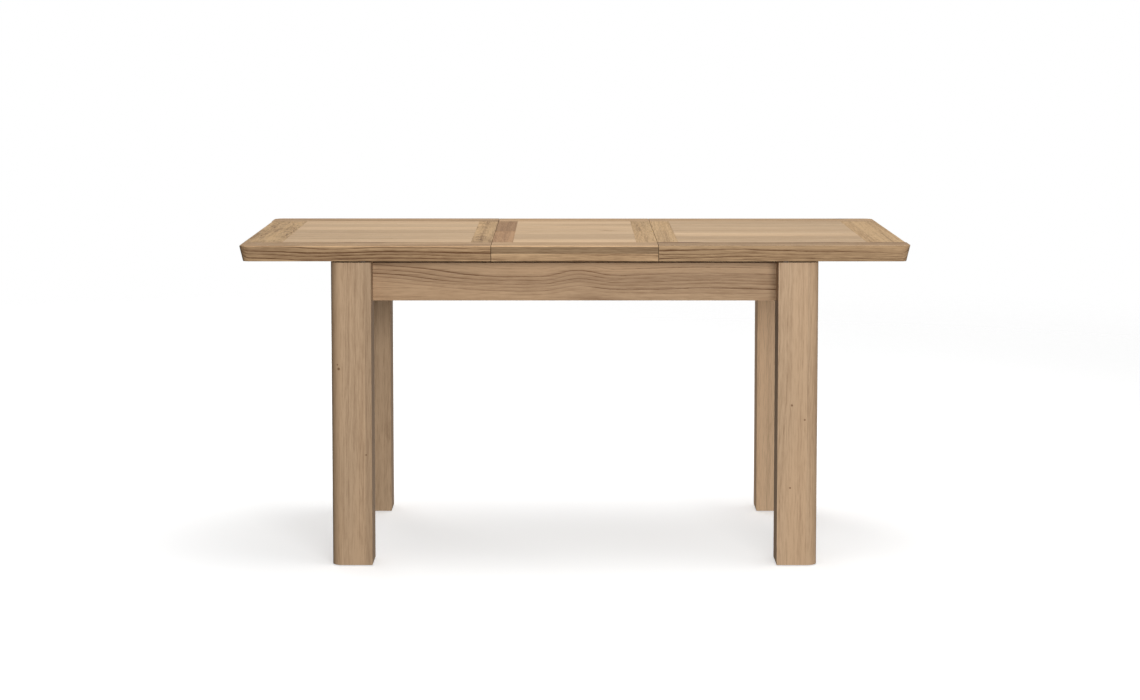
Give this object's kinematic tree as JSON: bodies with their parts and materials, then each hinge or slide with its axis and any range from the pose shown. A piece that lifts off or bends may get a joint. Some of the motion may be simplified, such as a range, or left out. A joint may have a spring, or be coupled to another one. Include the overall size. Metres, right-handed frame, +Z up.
{
  "type": "extendable dining table",
  "caption": "Rectangular oak dining table with straight square legs, whose end tops slide apart for a folding butterfly leaf.",
  "frame": {"origin": "centre of the table's footprint, on the floor, with the leaf in place", "axes": "+X along the length, +Z up, the front long side faces -Y"},
  "size_m": [1.6, 0.8, 0.775],
  "materials": {
    "oak": "oiled oak with open straight grain",
    "band_oak": "oiled oak of darker, more figured boards",
    "beech": "plain planed hardwood",
    "steel": "zinc plated",
    "brass": "satin",
    "nylon": "matt black",
    "felt": "pressed felt"
  },
  "bodies": {
    "frame": {"leg_front_left": "oak", "leg_front_right": "oak", "leg_back_left": "oak", "leg_back_right": "oak", "apron_front": "oak", "apron_back": "oak", "apron_left": "oak", "apron_right": "oak", "corner_brace_front_left": "beech", "corner_brace_front_right": "beech", "corner_brace_back_left": "beech", "corner_brace_back_right": "beech", "leg_bolts": "steel", "leg_bolt_washers": "steel", "leg_bolt_nuts": "steel", "runner_front": "beech", "runner_back": "beech", "cross_rail_left": "beech", "cross_rail_right": "beech", "pivot_plate_left": "steel", "pivot_plate_right": "steel", "glide_strips_left": "nylon", "glide_strips_right": "nylon", "leaf_rest_pads": "felt", "foot_glides": "nylon", "frame_screws": "steel"},
    "left_top": {"left_top_panel": "oak", "left_top_front_rail": "oak", "left_top_back_rail": "oak", "left_top_outer_band": "band_oak", "left_top_inner_band": "band_oak", "left_bearer_front": "beech", "left_bearer_back": "beech", "left_bearer_screws": "steel"},
    "right_top": {"right_top_panel": "oak", "right_top_front_rail": "oak", "right_top_back_rail": "oak", "right_top_outer_band": "band_oak", "right_top_inner_band": "band_oak", "right_bearer_front": "beech", "right_bearer_back": "beech", "right_bearer_screws": "steel"},
    "leaf_back": {"leaf_back_panel": "oak", "leaf_back_rail": "oak", "leaf_back_left_band": "band_oak", "leaf_back_right_band": "band_oak", "leaf_back_hinge_straps": "brass", "leaf_back_hinge_pins": "steel", "leaf_back_screws": "steel", "leaf_pivot_bracket_left": "steel", "leaf_pivot_bracket_right": "steel", "leaf_pivot_pins": "steel"},
    "leaf_links": {"leaf_hinge_links": "brass"},
    "leaf_front": {"leaf_front_panel": "oak", "leaf_front_rail": "oak", "leaf_front_left_band": "band_oak", "leaf_front_right_band": "band_oak", "leaf_front_hinge_straps": "brass", "leaf_front_hinge_pins": "steel", "leaf_front_screws": "steel"}
  },
  "joints": [
    {"name": "left_top_slide", "type": "slide", "parent": "frame", "child": "left_top", "axis": [-1, 0, 0], "range_m": [0, 0.05]},
    {"name": "right_top_slide", "type": "slide", "parent": "frame", "child": "right_top", "axis": [1, 0, 0], "range_m": [0, 0.05]},
    {"name": "leaf_swing", "type": "hinge", "parent": "frame", "child": "leaf_back", "pos_m": [0, 0.1, 0.73], "axis": [1, 0, 0], "range_deg": [0, 90]},
    {"name": "leaf_link_turn", "type": "hinge", "parent": "leaf_back", "child": "leaf_links", "pos_m": [0, 0.00325, 0.772], "axis": [-1, 0, 0], "range_deg": [0, 90]},
    {"name": "leaf_fold", "type": "hinge", "parent": "leaf_links", "child": "leaf_front", "pos_m": [0, -0.00325, 0.772], "axis": [-1, 0, 0], "range_deg": [0, 90]}
  ],
  "couplings": [
    {"joint": "leaf_link_turn", "follows": "leaf_swing", "ratio": 1},
    {"joint": "leaf_fold", "follows": "leaf_swing", "ratio": 1}
  ]
}
